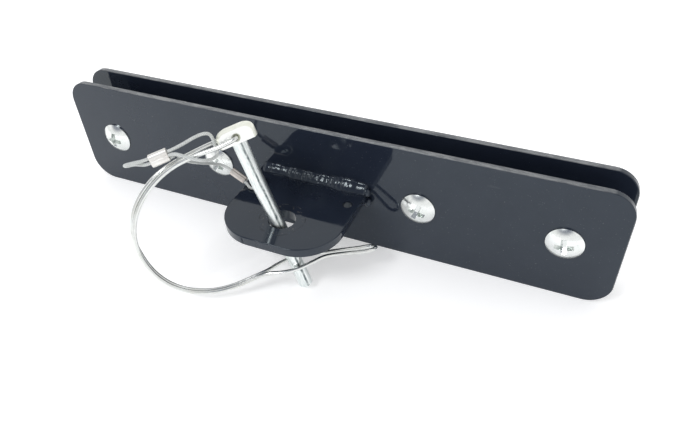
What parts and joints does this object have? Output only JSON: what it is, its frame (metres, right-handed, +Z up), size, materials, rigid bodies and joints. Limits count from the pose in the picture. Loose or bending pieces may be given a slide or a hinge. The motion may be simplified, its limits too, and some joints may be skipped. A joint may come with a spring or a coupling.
{
  "type": "clamp-on receiver bracket with a captive wire-lock pin",
  "caption": "Clamp-on steel bracket: bolted black bars with a welded, drilled tab, and a leaning lock pin with a spring-wire hoop kept by a crimped cable.",
  "frame": {"origin": "bottom edge of the front bar, at its mid length and mid thickness; the bars stand on this edge", "axes": "+X along the bars, +Y from the front bar (the one with the tab) towards the back bar, +Z up"},
  "size_m": [0.3048, 0.1095, 0.0841],
  "materials": {
    "black_paint": "gloss black enamel on steel, a little worn on the edges",
    "black_paint_weld": "gloss black enamel over a weld bead",
    "zinc_plate": "bright zinc plate",
    "pin_zinc": "zinc plate, faintly yellow on the head",
    "steel_wire": "bright plated spring wire",
    "rivet_black": "gloss black",
    "ferrule_aluminium": "dull crimped aluminium",
    "cable_coating": "pale grey coating on wire rope",
    "nylon": "white nylon"
  },
  "bodies": {
    "bracket": {"front_plate": "black_paint", "hitch_tab": "black_paint", "weld_top": "black_paint_weld", "weld_bottom": "black_paint_weld", "screw_left_outer": "zinc_plate", "screw_left_inner": "zinc_plate", "screw_right_inner": "zinc_plate", "screw_right_outer": "zinc_plate", "rivet": "rivet_black", "rivet_mandrel": "steel_wire", "lower_ferrule": "ferrule_aluminium", "lanyard_lower_eye": "cable_coating", "lanyard_lead": "cable_coating"},
    "clamp_plate": {"back_plate": "black_paint", "washer_left_outer": "zinc_plate", "washer_left_inner": "zinc_plate", "washer_right_inner": "zinc_plate", "washer_right_outer": "zinc_plate", "nut_left_outer": "zinc_plate", "nut_left_inner": "zinc_plate", "nut_right_inner": "zinc_plate", "nut_right_outer": "zinc_plate", "nylon_rings": "nylon"},
    "pin": {"lock_pin": "pin_zinc", "upper_ferrule": "ferrule_aluminium", "lanyard_turnback": "cable_coating", "lanyard_upper_eye": "cable_coating"},
    "hoop_top": {"hoop_upper": "steel_wire"},
    "hoop_bottom": {"hoop_lower": "steel_wire"}
  },
  "joints": [
    {"name": "clamp_slide", "type": "slide", "parent": "bracket", "child": "clamp_plate", "axis": [0, 1, 0], "range_m": [-0.011, 0]},
    {"name": "pin_slide", "type": "slide", "parent": "bracket", "child": "pin", "axis": [-0.3842, 0.0895, 0.9189], "range_m": [-0.03, 0.013], "deforming": ["lanyard_lead"]},
    {"name": "hoop_swing", "type": "hinge", "parent": "pin", "child": "hoop_top", "pos_m": [-0.01868, -0.03438, 0.07814], "axis": [0.5484, -0.7785, 0.3051], "range_deg": [-2, 2]},
    {"name": "hoop_flex", "type": "hinge", "parent": "hoop_top", "child": "hoop_bottom", "pos_m": [-0.05223, -0.07727, 0.02901], "axis": [-0.5484, 0.7785, -0.3051], "range_deg": [0, 16], "stiffness_Nm_per_rad": 0.4}
  ]
}
